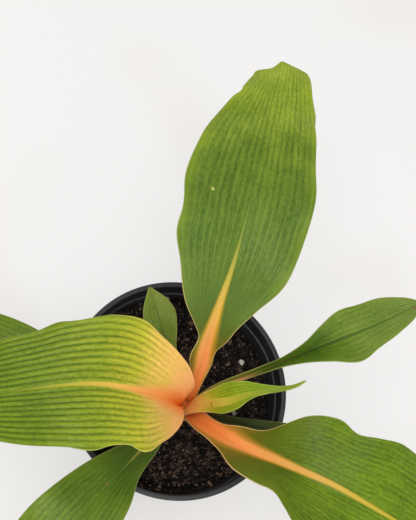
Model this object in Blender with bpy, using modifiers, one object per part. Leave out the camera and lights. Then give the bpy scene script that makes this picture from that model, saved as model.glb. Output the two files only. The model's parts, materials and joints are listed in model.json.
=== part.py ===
"""Potted chlorophytum: a black nursery pot, its soil, the plant's crown and nine broad leaves.

Metres, +Z up. The origin is the centre of the pot's underside. +X is to the right and +Y to the
back of the plant. Lengths in the leaf list are millimetres and angles are degrees.
"""
import math
from collections import namedtuple

import bmesh
import bpy
import numpy as np
from mathutils import Vector, noise

MM = 0.001
GAP = 0.3 * MM                      # clearance between pieces that touch

# Pot: a standard 12 cm round nursery pot
POT_HEIGHT = 92 * MM
RIM_RADIUS = 60 * MM
LIP_WIDTH = 3.0 * MM
LIP_DEPTH = 1.6 * MM
LIP_ROUND = 0.4 * MM
WALL = 1.2 * MM
COLLAR_HEIGHT = 9.5 * MM
COLLAR_TAPER = 0.3 * MM             # how much the collar narrows from lip to step
STEP_WIDTH = 1.1 * MM               # the wall steps in under the collar
FOOT_RADIUS = 43 * MM
FOOT_CHAMFER = 1.5 * MM
FLOOR_THICKNESS = 1.5 * MM
DRAIN_HOLES = 8
DRAIN_RADIUS = 4.0 * MM
DRAIN_CIRCLE = 30 * MM
POT_STEPS = 56

# Soil: its top lies lower at the right and the front, and lumps stand out of it
SOIL_HEIGHT = 76.0 * MM
SOIL_TILT = Vector((-0.045, 0.060))  # rise of the top for each metre along X and Y
SOIL_RINGS = 11
LUMP_HEIGHT = 1.6 * MM
LUMP_SIZE = 9 * MM
GRAIN_HEIGHT = 0.7 * MM
GRAIN_SIZE = 3.2 * MM

# Crown: the short root stock that the leaves stand on
CROWN_X = 5 * MM
CROWN_Y = -9 * MM
CROWN_RADIUS = 7 * MM
CROWN_FOOT = 58 * MM                # its lower end, in a plain hole in the soil
CROWN_SHOULDER = 79 * MM
CROWN_TOP = 86.2 * MM
CROWN_STEPS = 20

# Leaf blades
BLADE_THICKNESS = 0.7 * MM
RIB_THICKNESS = 2.3 * MM            # the stalk and the root of the midrib
RIB_WIDTH = 0.16                    # share of the half width that the midrib takes in the blade
TIP_ROUND = 0.05                    # share of the length that the rounded tip takes

Leaf = namedtuple("Leaf", "base length climb heading outline inner outer roll ruffle waves shift "
                          "rows columns colour")

# base: where the stalk stands, length: along the midrib, climb and heading: the midrib's direction
# at equal stations from base to tip, outline: (share of length, half width left, half width right),
# inner and outer: how far each half folds up, at the midrib and at the edge, at equal stations,
# roll: turn about the midrib, ruffle: height of the edge's waves, waves: their number, shift: their start
LEAVES = {
    "leaf_back": Leaf(
        base=(5.9, -5.5, 85.3), length=227,
        climb=(74, 68, 38, 5, -11, -14), heading=(77, 87, 78, 78, 76, 72),
        outline=((0, 3.5, 3.5), (0.1, 4.5, 3.5), (0.18, 9, 4.8), (0.23, 12, 5), (0.27, 8.5, 8.5),
                 (0.31, 13, 11.5), (0.36, 20.5, 18), (0.43, 27.5, 26.5), (0.48, 32.5, 29),
                 (0.53, 32.5, 30.5), (0.6, 34.5, 31), (0.68, 32, 29.5), (0.76, 27, 26.5),
                 (0.81, 22.5, 24.5), (0.86, 17.5, 24), (0.92, 13, 19), (1, 4, 12)),
        inner=(5, 35, 28, 14, 10, 8), outer=(30, 45, 14, 5, 0, -5), roll=(0, 0),
        ruffle=1.6, waves=6, shift=(0.1, 0.55), rows=28, columns=10, colour=(0.16, 0.27, 0.03)),
    "leaf_left": Leaf(
        base=(2.8, -9.4, 86.5), length=200,
        climb=(72, 68, 37, -5, -26, -39), heading=(-138, -162, -180, -172, -177, -176),
        outline=((0, 2, 3.5), (0.06, 2.6, 5), (0.14, 6.5, 12.5), (0.2, 10.5, 15.5),
                 (0.26, 15.5, 19), (0.32, 22, 23), (0.36, 26, 27), (0.41, 32, 33),
                 (0.47, 29.5, 33), (0.54, 32, 30), (0.58, 30, 30.5), (0.64, 27, 27.5),
                 (0.72, 22.5, 25.5), (0.8, 18, 21), (0.9, 11, 13), (1, 4, 4)),
        inner=(5, 40, 25, 12, 8, 6), outer=(40, 50, 10, -5, -10, -15),
        roll=((0, 0), (0.14, 25), (0.2, 20), (0.4, 0), (1, 0)),
        ruffle=1.2, waves=5, shift=(0.3, 0.7), rows=28, columns=12, colour=(0.30, 0.32, 0.04)),
    "leaf_front_right": Leaf(
        base=(6.9, -13.0, 84.5), length=198,
        climb=(71, 57, 37, 3, -17, -28), heading=(-66, -59, -35, -25, -22, -16),
        outline=((0, 3.5, 3.5), (0.1, 4.5, 6.5), (0.16, 4, 8), (0.23, 5, 9), (0.3, 9, 11),
                 (0.37, 13.5, 15.5), (0.42, 19.5, 15), (0.46, 26, 13.8), (0.5, 30.5, 19),
                 (0.53, 32, 24), (0.58, 29.5, 28), (0.63, 31.5, 30), (0.7, 35, 30),
                 (0.76, 34.5, 28), (0.84, 28, 23), (0.92, 18, 15), (1, 5, 5)),
        inner=(5, 32, 28, 16, 10, 8), outer=(30, 40, 20, 5, -5, -8),
        roll=((0, 0), (0.12, -20), (0.3, -5), (0.5, 0), (1, 0)),
        ruffle=2.0, waves=5, shift=(0.0, 0.45), rows=28, columns=10, colour=(0.17, 0.25, 0.03)),
    "leaf_front_left": Leaf(
        base=(1.3, -13.3, 80.5), length=160,
        climb=(63, 37, 26, 2, -26, -38), heading=(-138, -132, -131, -129, -130, -130),
        outline=((0, 3, 3), (0.15, 4, 4), (0.28, 7, 6), (0.4, 9, 11), (0.5, 14.5, 16),
                 (0.6, 18, 19.5), (0.7, 20, 21.5), (0.8, 18, 20), (0.9, 11, 13), (1, 4, 4)),
        inner=(5, 30, 20, 12, 8, 5), outer=(25, 40, 5, -5, -10, -10), roll=(0, 0),
        ruffle=1.0, waves=4, shift=(0.2, 0.6), rows=20, columns=8, colour=(0.08, 0.16, 0.025)),
    "leaf_right": Leaf(
        base=(10.6, -6.9, 80.5), length=151,
        climb=(64, 47, 41, 19, -9, -19), heading=(42, 16, 17, 20, 28, 33),
        outline=((0, 2.5, 2.5), (0.2, 2.5, 2.5), (0.33, 2.5, 3.5), (0.44, 3.5, 5.5), (0.52, 6, 8),
                 (0.58, 10.5, 11), (0.65, 14.5, 15.5), (0.73, 13.5, 12), (0.83, 12, 9),
                 (0.92, 8, 6), (1, 2, 2)),
        inner=(5, 35, 45, 30, 15, 10), outer=(25, 60, 60, 20, 5, 0), roll=(0, 0),
        ruffle=0.6, waves=4, shift=(0.1, 0.6), rows=20, columns=8, colour=(0.10, 0.20, 0.03)),
    "leaf_small": Leaf(
        base=(3.3, -3.7, 80.5), length=70,
        climb=(63, 49, 36, 28, 19, 6), heading=(98, 113, 125, 119, 109, 117),
        outline=((0, 2.2, 2.2), (0.3, 2.5, 2.5), (0.5, 5, 4), (0.65, 9, 8), (0.78, 9.7, 9.2),
                 (0.88, 7.5, 6), (1, 2, 2)),
        inner=(5, 35, 40, 40, 30, 20), outer=(25, 60, 45, 30, 20, 10), roll=(0, 0),
        ruffle=0.3, waves=3, shift=(0.0, 0.5), rows=14, columns=6, colour=(0.14, 0.19, 0.04)),
    "leaf_young": Leaf(
        base=(7.3, -9.5, 86.8), length=89,
        climb=(83, 81, 64, 46, 26, 22), heading=(-115, -68, -8, 5, 2, 31),
        outline=((0, 2.2, 2.2), (0.1, 3.5, 3.2), (0.24, 4.7, 4.7), (0.36, 5, 5.5),
                 (0.46, 6.3, 7.2), (0.55, 8, 8.8), (0.62, 7.5, 7.5), (0.68, 6, 4),
                 (0.74, 4, 1.8), (0.82, 2.5, 1), (0.92, 0.9, 1), (1, 0.6, 0.6)),
        inner=(5, 30, 25, 20, 15, 20), outer=(30, 30, 40, 30, 20, 30),
        roll=((0, 0), (0.2, -30), (0.4, -15), (0.6, 0), (1, 0)),
        ruffle=0.4, waves=3, shift=(0.0, 0.5), rows=18, columns=8, colour=(0.28, 0.33, 0.05)),
    "leaf_old": Leaf(
        base=(9.9, -12.2, 80), length=117,
        climb=(56, 40, 23, 2, -8, -20), heading=(-23, -21, -16, -14, -12, -10),
        outline=((0, 2.5, 2.5), (0.15, 2.5, 2.5), (0.3, 3, 4), (0.47, 5.2, 8), (0.65, 9, 12),
                 (0.8, 8.5, 10), (0.92, 5, 6), (1, 2, 2)),
        inner=(5, 30, 20, 12, 8, 5), outer=(25, 40, 5, -5, -10, -10), roll=(0, 0),
        ruffle=0.4, waves=3, shift=(0.2, 0.6), rows=16, columns=6, colour=(0.03, 0.06, 0.02)),
    "leaf_back_left": Leaf(
        base=(-0.4, -7.1, 80), length=171,
        climb=(63, 34, 19, 3, -24, -33), heading=(173, 179, 170, 163, 160, 159),
        outline=((0, 2.5, 2.5), (0.2, 3, 3), (0.35, 6, 6), (0.5, 12, 12), (0.62, 15, 15),
                 (0.75, 15.5, 15.5), (0.87, 11, 12), (1, 3, 3)),
        inner=(5, 30, 20, 12, 8, 5), outer=(25, 40, 5, -5, -10, -10), roll=(0, 0),
        ruffle=0.8, waves=4, shift=(0.4, 0.8), rows=18, columns=8, colour=(0.13, 0.24, 0.04)),
}


def curve(points, place):
    """A smooth curve through (place, value) points, or through values at equal stations."""
    p = np.asarray(points, float)
    if p.ndim == 1:
        p = np.column_stack([np.linspace(0, 1, len(p)), p])
    x, y = p[:, 0], p[:, 1]
    place = np.clip(place, x[0], x[-1])
    slope = np.gradient(y, x)
    i = np.clip(np.searchsorted(x, place, side="right") - 1, 0, len(x) - 2)
    step = x[i + 1] - x[i]
    f = (place - x[i]) / step
    return ((2 * f**3 - 3 * f**2 + 1) * y[i] + (f**3 - 2 * f**2 + f) * step * slope[i]
            + (3 * f**2 - 2 * f**3) * y[i + 1] + (f**3 - f**2) * step * slope[i + 1])


def direction(leaf, t):
    """The midrib's unit direction at the shares t of its length."""
    climb = np.radians(curve(leaf.climb, t))
    heading = np.radians(curve(leaf.heading, t))
    return np.stack([np.cos(climb) * np.cos(heading), np.cos(climb) * np.sin(heading),
                     np.sin(climb)], axis=-1)


def midrib(leaf, t, steps=400):
    """Points of the midrib, by adding up its direction from the base."""
    places = np.linspace(0, 1, steps + 1)
    middles = (places[1:] + places[:-1]) / 2
    path = np.vstack([np.zeros(3), np.cumsum(direction(leaf, middles), axis=0)]) / steps
    path = np.asarray(leaf.base) + leaf.length * path
    return np.stack([np.interp(t, places, path[:, axis]) for axis in range(3)], axis=-1)


def tip_share(t):
    """1 along the leaf, falling to 0 in a round end at the tip."""
    end = np.clip((t - 1 + TIP_ROUND) / TIP_ROUND, 0, 1)
    return np.sqrt(1 - end**2)


def leaf_points(leaf, t, s):
    """Points in millimetres of the leaf's upper face; t runs base to tip, s from -1 left to 1 right."""
    across = np.abs(s)
    heading = np.radians(curve(leaf.heading, t))
    roll = np.radians(curve(leaf.roll, t))[:, None]
    along = direction(leaf, t)
    level = np.stack([np.sin(heading), -np.cos(heading), np.zeros_like(t)], axis=-1)
    up = np.cross(level, along)
    side = level * np.cos(roll) + up * np.sin(roll)
    top = up * np.cos(roll) - level * np.sin(roll)
    outline = np.asarray(leaf.outline)
    left = curve(outline[:, [0, 1]], t)
    right = curve(outline[:, [0, 2]], t)
    half = np.where(s > 0, right, left) * tip_share(t) * across
    inner = curve(leaf.inner, t)
    fold = np.radians(inner + (curve(leaf.outer, t) - inner) * across / 2)
    start = np.where(s > 0, leaf.shift[1], leaf.shift[0])
    wave = np.sin(2 * np.pi * (leaf.waves * t + start)) * across**2
    wave *= leaf.ruffle * tip_share(t) * np.clip(5 * t - 1, 0, 1)
    return (midrib(leaf, t) + side * (np.sign(s) * half * np.cos(fold))[:, None]
            + top * (half * np.sin(fold) + wave)[:, None])


def leaf_thickness(t, s):
    """Thick in the stalk and along the midrib, thin at the edges and the tip."""
    stalk = np.clip(1 - t / 0.35, 0, 1)
    rib = np.exp(-(s / (RIB_WIDTH + 0.7 * stalk))**2) * np.clip(1.1 - t, 0, 1)
    return BLADE_THICKNESS + (RIB_THICKNESS - BLADE_THICKNESS) * rib * np.clip(0.25 + stalk, 0, 1)


def material(name, colour, roughness):
    made = bpy.data.materials.new(name)
    made.use_nodes = True
    shader = made.node_tree.nodes["Principled BSDF"]
    shader.inputs["Base Color"].default_value = (*colour, 1)
    shader.inputs["Roughness"].default_value = roughness
    shader.inputs["Metallic"].default_value = 0
    return made


def add_object(name, mesh, collection, colour=None, roughness=0.5):
    thing = bpy.data.objects.new(name, mesh)
    collection.objects.link(thing)
    if colour:
        mesh.materials.append(material(name, colour, roughness))
    return thing


def turned(name, profile, steps, collection, colour, roughness):
    """A profile of (radius, height) points, turned round Z by a Screw modifier."""
    sketch = bmesh.new()
    points = [sketch.verts.new((radius, 0, height)) for radius, height in profile]
    for first, second in zip(points, points[1:]):
        sketch.edges.new((first, second))
    mesh = bpy.data.meshes.new(name)
    sketch.to_mesh(mesh)
    sketch.free()
    thing = add_object(name, mesh, collection, colour, roughness)
    screw = thing.modifiers.new("Turn", "SCREW")
    screw.steps = screw.render_steps = steps
    screw.use_merge_vertices = True
    screw.merge_threshold = 0.00001
    screw.use_smooth_shade = True
    return thing


def cut(thing, cutter):
    """Takes the cutter out of the thing."""
    cutter.hide_render = True
    cutter.display_type = "WIRE"
    boolean = thing.modifiers.new("Cut", "BOOLEAN")
    boolean.operation = "DIFFERENCE"
    boolean.object = cutter


def inner_radius(height):
    """Radius of the pot's inner wall, below the collar."""
    step_height = POT_HEIGHT - COLLAR_HEIGHT
    top = RIM_RADIUS - LIP_WIDTH - COLLAR_TAPER - STEP_WIDTH
    bottom = FOOT_RADIUS - WALL
    return bottom + (top - bottom) * (height - FLOOR_THICKNESS) / (step_height - FLOOR_THICKNESS)


def make_pot(parts, cutters):
    step = POT_HEIGHT - COLLAR_HEIGHT
    lip_inside = RIM_RADIUS - LIP_WIDTH
    under_lip = POT_HEIGHT - LIP_DEPTH
    profile = [
        (0, FLOOR_THICKNESS),
        (inner_radius(FLOOR_THICKNESS), FLOOR_THICKNESS),
        (inner_radius(step), step),
        (lip_inside - COLLAR_TAPER, step + LIP_ROUND),
        (lip_inside, POT_HEIGHT - LIP_ROUND),
        (lip_inside + LIP_ROUND, POT_HEIGHT),
        (RIM_RADIUS - LIP_ROUND, POT_HEIGHT),
        (RIM_RADIUS, POT_HEIGHT - LIP_ROUND),
        (RIM_RADIUS, under_lip),
        (lip_inside + WALL, under_lip - LIP_ROUND),
        (lip_inside - COLLAR_TAPER + WALL, step - WALL),
        (inner_radius(step - WALL) + WALL, step - 2 * WALL),
        (FOOT_RADIUS, FOOT_CHAMFER),
        (FOOT_RADIUS - FOOT_CHAMFER / 2, 0),
        (0, 0),
    ]
    pot = turned("pot", profile, POT_STEPS, parts, (0.020, 0.021, 0.024), 0.42)
    for number in range(DRAIN_HOLES):
        angle = 2 * math.pi * (number + 0.5) / DRAIN_HOLES
        drill = bmesh.new()
        bmesh.ops.create_cone(drill, cap_ends=True, segments=16, radius1=DRAIN_RADIUS,
                              radius2=DRAIN_RADIUS, depth=4 * FLOOR_THICKNESS)
        mesh = bpy.data.meshes.new(f"drain_cutter_{number}")
        drill.to_mesh(mesh)
        drill.free()
        cutter = add_object(mesh.name, mesh, cutters)
        cutter.location = (DRAIN_CIRCLE * math.cos(angle), DRAIN_CIRCLE * math.sin(angle), 0)
        cut(pot, cutter)


def soil_height(x, y):
    """Height of the soil's top at a place, with its tilt, lumps and grains."""
    lumps = noise.noise(Vector((x, y, 0)) / LUMP_SIZE) * LUMP_HEIGHT
    grains = noise.noise(Vector((x, y, 1)) / GRAIN_SIZE) * GRAIN_HEIGHT
    mound = 1.5 * MM * math.exp(-((x - CROWN_X)**2 + (y - CROWN_Y)**2) / (18 * MM)**2)
    return SOIL_HEIGHT + SOIL_TILT.dot(Vector((x, y))) + lumps + grains + mound


def make_soil(parts, cutters):
    """Soil that fills the pot: a profile spun round Z, its top raised into lumps by a formula."""
    floor = FLOOR_THICKNESS + GAP
    wide = inner_radius(SOIL_HEIGHT) - GAP
    profile = [(wide * ring / SOIL_RINGS, SOIL_HEIGHT) for ring in range(SOIL_RINGS + 1)]
    profile += [(inner_radius(floor) - GAP, floor), (0, floor)]
    body = bmesh.new()
    points = [body.verts.new((radius, 0, height)) for radius, height in profile]
    edges = [body.edges.new(pair) for pair in zip(points, points[1:])]
    bmesh.ops.spin(body, geom=points + edges, axis=(0, 0, 1), cent=(0, 0, 0),
                   angle=2 * math.pi, steps=POT_STEPS, use_merge=True)
    bmesh.ops.remove_doubles(body, verts=body.verts, dist=0.01 * MM)
    bmesh.ops.recalc_face_normals(body, faces=body.faces)
    for vert in body.verts:
        if vert.co.z > SOIL_HEIGHT - MM:
            x, y = vert.co.xy
            height = soil_height(x, y)
            widen = (inner_radius(height) - GAP) / wide
            vert.co = (x * widen, y * widen, height)
    bmesh.ops.triangulate(body, faces=body.faces)
    mesh = bpy.data.meshes.new("soil")
    body.to_mesh(mesh)
    body.free()
    mesh.shade_smooth()
    soil = add_object("soil", mesh, parts, (0.030, 0.020, 0.014), 0.95)
    hole = bmesh.new()
    radius = CROWN_RADIUS + GAP
    bottom = CROWN_FOOT - GAP
    bmesh.ops.create_cone(hole, cap_ends=True, segments=CROWN_STEPS, radius1=radius,
                          radius2=radius, depth=POT_HEIGHT - bottom)
    mesh = bpy.data.meshes.new("crown_hole_cutter")
    hole.to_mesh(mesh)
    hole.free()
    cutter = add_object(mesh.name, mesh, cutters)
    cutter.location = (CROWN_X, CROWN_Y, (POT_HEIGHT + bottom) / 2)
    cut(soil, cutter)


def make_crown(parts):
    profile = [
        (0, CROWN_TOP),
        (0.30 * CROWN_RADIUS, CROWN_TOP - 0.6 * MM),
        (0.60 * CROWN_RADIUS, CROWN_TOP - 2.8 * MM),
        (0.70 * CROWN_RADIUS, CROWN_SHOULDER + 1 * MM),
        (CROWN_RADIUS, CROWN_SHOULDER - 2 * MM),
        (CROWN_RADIUS, CROWN_FOOT + 8 * MM),
        (0.7 * CROWN_RADIUS, CROWN_FOOT + 2 * MM),
        (0, CROWN_FOOT),
    ]
    crown = turned("crown", profile, CROWN_STEPS, parts, (0.55, 0.33, 0.16), 0.6)
    crown.location = (CROWN_X, CROWN_Y, 0)


def make_leaf(name, leaf, parts):
    """A grid bent to the leaf's form, split into triangles and then given its thickness."""
    sheet = bmesh.new()
    bmesh.ops.create_grid(sheet, x_segments=leaf.columns, y_segments=leaf.rows, size=1)
    flat = np.array([vert.co for vert in sheet.verts])
    s = flat[:, 0]
    t = (flat[:, 1] + 1) / 2
    for vert, place in zip(sheet.verts, leaf_points(leaf, t, s) * MM):
        vert.co = place
    mesh = bpy.data.meshes.new(name)
    thickness = leaf_thickness(t, s)
    weights = sheet.verts.layers.deform.verify()
    for vert, share in zip(sheet.verts, thickness / RIB_THICKNESS):
        vert[weights][0] = share
    bmesh.ops.remove_doubles(sheet, verts=sheet.verts, dist=0.01 * MM)
    bmesh.ops.triangulate(sheet, faces=sheet.faces, quad_method="SHORT_EDGE")
    sheet.to_mesh(mesh)
    sheet.free()
    mesh.shade_smooth()
    thing = add_object(name, mesh, parts, leaf.colour, 0.45)
    thing.vertex_groups.new(name="thickness")
    solidify = thing.modifiers.new("Thickness", "SOLIDIFY")
    solidify.thickness = RIB_THICKNESS
    solidify.offset = -1
    solidify.vertex_group = "thickness"
    return thing


def main():
    for thing in list(bpy.data.objects):
        bpy.data.objects.remove(thing)
    parts = bpy.data.collections.new("Potted chlorophytum")
    cutters = bpy.data.collections.new("Cutters")
    for collection in (parts, cutters):
        bpy.context.scene.collection.children.link(collection)
    make_pot(parts, cutters)
    make_soil(parts, cutters)
    make_crown(parts)
    for name, leaf in LEAVES.items():
        make_leaf(name, leaf, parts)


main()
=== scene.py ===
"""Finished looks of the potted chlorophytum: pot, soil, crown and nine broad leaves.

Metres, +Z up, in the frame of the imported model. Lengths in the leaf list are millimetres and angles
are degrees. Colours are written as sRGB values from 0 to 255 and turned into linear light.
"""
import json
import math
import random
from collections import namedtuple

import bmesh
import bpy
import numpy as np
from bpy.props import FloatProperty, FloatVectorProperty, IntProperty, PointerProperty
from mathutils import Euler, Matrix, Vector, noise
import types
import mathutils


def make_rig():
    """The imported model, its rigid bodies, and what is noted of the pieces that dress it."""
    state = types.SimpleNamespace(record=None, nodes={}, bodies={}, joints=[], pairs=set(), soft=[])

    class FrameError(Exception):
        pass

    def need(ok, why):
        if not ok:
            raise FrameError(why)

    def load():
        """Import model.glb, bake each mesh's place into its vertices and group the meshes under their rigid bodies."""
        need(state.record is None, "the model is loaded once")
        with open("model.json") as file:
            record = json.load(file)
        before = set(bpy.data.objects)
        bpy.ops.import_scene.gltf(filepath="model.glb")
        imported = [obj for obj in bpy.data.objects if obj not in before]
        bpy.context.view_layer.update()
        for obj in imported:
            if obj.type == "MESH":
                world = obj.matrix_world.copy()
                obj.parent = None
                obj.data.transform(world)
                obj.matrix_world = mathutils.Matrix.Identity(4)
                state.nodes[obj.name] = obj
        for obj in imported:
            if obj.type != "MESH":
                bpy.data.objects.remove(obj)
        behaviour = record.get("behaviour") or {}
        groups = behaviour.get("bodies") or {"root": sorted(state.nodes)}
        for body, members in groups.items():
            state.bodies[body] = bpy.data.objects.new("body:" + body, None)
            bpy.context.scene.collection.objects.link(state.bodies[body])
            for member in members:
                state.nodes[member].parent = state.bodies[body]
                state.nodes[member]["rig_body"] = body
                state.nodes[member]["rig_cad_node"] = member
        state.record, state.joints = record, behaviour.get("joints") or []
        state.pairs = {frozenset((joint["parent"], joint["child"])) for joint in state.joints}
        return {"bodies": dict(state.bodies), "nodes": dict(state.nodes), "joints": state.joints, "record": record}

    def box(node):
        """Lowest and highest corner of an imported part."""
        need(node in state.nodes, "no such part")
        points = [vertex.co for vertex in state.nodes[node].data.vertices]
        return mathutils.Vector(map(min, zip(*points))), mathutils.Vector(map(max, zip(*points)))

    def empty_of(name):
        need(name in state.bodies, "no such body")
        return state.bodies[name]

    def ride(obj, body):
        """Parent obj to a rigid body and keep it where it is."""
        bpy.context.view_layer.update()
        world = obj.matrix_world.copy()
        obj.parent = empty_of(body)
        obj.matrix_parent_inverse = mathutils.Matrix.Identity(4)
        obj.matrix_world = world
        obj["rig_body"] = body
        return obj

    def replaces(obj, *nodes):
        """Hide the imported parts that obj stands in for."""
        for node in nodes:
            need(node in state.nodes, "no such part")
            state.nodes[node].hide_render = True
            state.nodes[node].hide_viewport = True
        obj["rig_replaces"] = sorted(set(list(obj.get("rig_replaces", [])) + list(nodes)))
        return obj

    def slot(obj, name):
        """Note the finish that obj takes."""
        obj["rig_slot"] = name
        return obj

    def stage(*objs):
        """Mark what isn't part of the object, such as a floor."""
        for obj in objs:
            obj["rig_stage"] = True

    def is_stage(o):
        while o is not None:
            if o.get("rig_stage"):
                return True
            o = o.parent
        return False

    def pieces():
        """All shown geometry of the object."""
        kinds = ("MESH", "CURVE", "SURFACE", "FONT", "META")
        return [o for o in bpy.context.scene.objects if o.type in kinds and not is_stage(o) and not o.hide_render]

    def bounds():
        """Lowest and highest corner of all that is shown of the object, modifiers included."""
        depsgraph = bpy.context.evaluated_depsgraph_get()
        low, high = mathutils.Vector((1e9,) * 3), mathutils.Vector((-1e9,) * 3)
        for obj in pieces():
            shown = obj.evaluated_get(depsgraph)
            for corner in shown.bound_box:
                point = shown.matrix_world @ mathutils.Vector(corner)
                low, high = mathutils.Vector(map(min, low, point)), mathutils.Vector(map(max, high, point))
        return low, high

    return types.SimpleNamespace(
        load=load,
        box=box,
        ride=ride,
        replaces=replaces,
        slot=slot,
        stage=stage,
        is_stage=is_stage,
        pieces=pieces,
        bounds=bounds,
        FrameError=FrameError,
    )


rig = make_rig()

bl_info = {
    "name": "Potted Chlorophytum",
    "version": (1, 0, 0),
    "blender": (4, 5, 0),
    "location": "View3D > Sidebar > Chlorophytum",
    "description": "Adds a broad-leaved chlorophytum in a nursery pot, with its studio stage",
    "category": "Add Mesh",
}

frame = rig.load()
CAD_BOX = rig.bounds()
MM = 0.001
SIZE_FILE = "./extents.json"

# Pot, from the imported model's own sizes
POT_LOW, POT_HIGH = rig.box("pot")
POT_HEIGHT = POT_HIGH.z
RIM_RADIUS = POT_HIGH.x
LIP_WIDTH = 3.0 * MM
LIP_DEPTH = 1.6 * MM
LIP_ROUND = 0.8 * MM
WALL = 1.2 * MM
COLLAR_HEIGHT = 9.5 * MM
COLLAR_TAPER = 0.3 * MM
STEP_WIDTH = 1.1 * MM
FOOT_RADIUS = 43 * MM
FOOT_CHAMFER = 1.5 * MM
FLOOR_THICKNESS = 1.5 * MM
DRAIN_HOLES = 8
DRAIN_RADIUS = 4.0 * MM
DRAIN_CIRCLE = 30 * MM
POT_STEPS = 160

# Soil
SOIL_HEIGHT = 76.0 * MM
SOIL_TILT = Vector((-0.045, 0.060))
SOIL_RINGS = 110
SOIL_STEPS = 340
LUMP_HEIGHT = 1.6 * MM
LUMP_SIZE = 9 * MM
GRAIN_HEIGHT = 0.7 * MM
GRAIN_SIZE = 3.2 * MM
CRUMB_DEPTH = 0.8 * MM
CRUMB_SPACING = 1.7 * MM
CLOD_HEIGHT = 0.6 * MM
CLOD_SIZE = 4.5 * MM
CRACK_WIDTH = 0.75 * MM
CRACK_DEPTH = 1.6 * MM
SEAT = 0.3 * MM                     # how far a loose grain is pressed into the soil

# Crown
CROWN_LOW, CROWN_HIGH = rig.box("crown")
CROWN_X = (CROWN_LOW.x + CROWN_HIGH.x) / 2
CROWN_Y = (CROWN_LOW.y + CROWN_HIGH.y) / 2
CROWN_RADIUS = (CROWN_HIGH.x - CROWN_LOW.x) / 2
CROWN_SHOULDER = 79 * MM

# Leaf blades
RIB_THICKNESS = 2.3 * MM
RIB_WIDTH = 0.16
THIN_RIB = 0.04                    # least half width in millimetres of a midrib's colour
LEAF_SHINE = 0.12

# Camera: it looks down on the plant from the front and the left
CAMERA_PLACE = (-0.0876, -0.1285, 0.6119)
CAMERA_TILT = (math.radians(20.94), math.radians(-11.28), 0.0)
CAMERA_LENS = 69.23
CAMERA_SENSOR = 36.0


def srgb(red, green, blue):
    """Linear colour of an sRGB colour whose channels run from 0 to 255."""
    shares = [channel / 255 for channel in (red, green, blue)]
    return tuple(c / 12.92 if c <= 0.04045 else ((c + 0.055) / 1.055)**2.4 for c in shares)


Leaf = namedtuple("Leaf", "base length climb heading outline inner outer roll ruffle waves shift "
                          "slot rows columns pleats depth start crease veins nicks band blade rib "
                          "margin spots gloss flank melt lime tip", defaults=((), 0.0, 0.4, 0.05))

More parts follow.
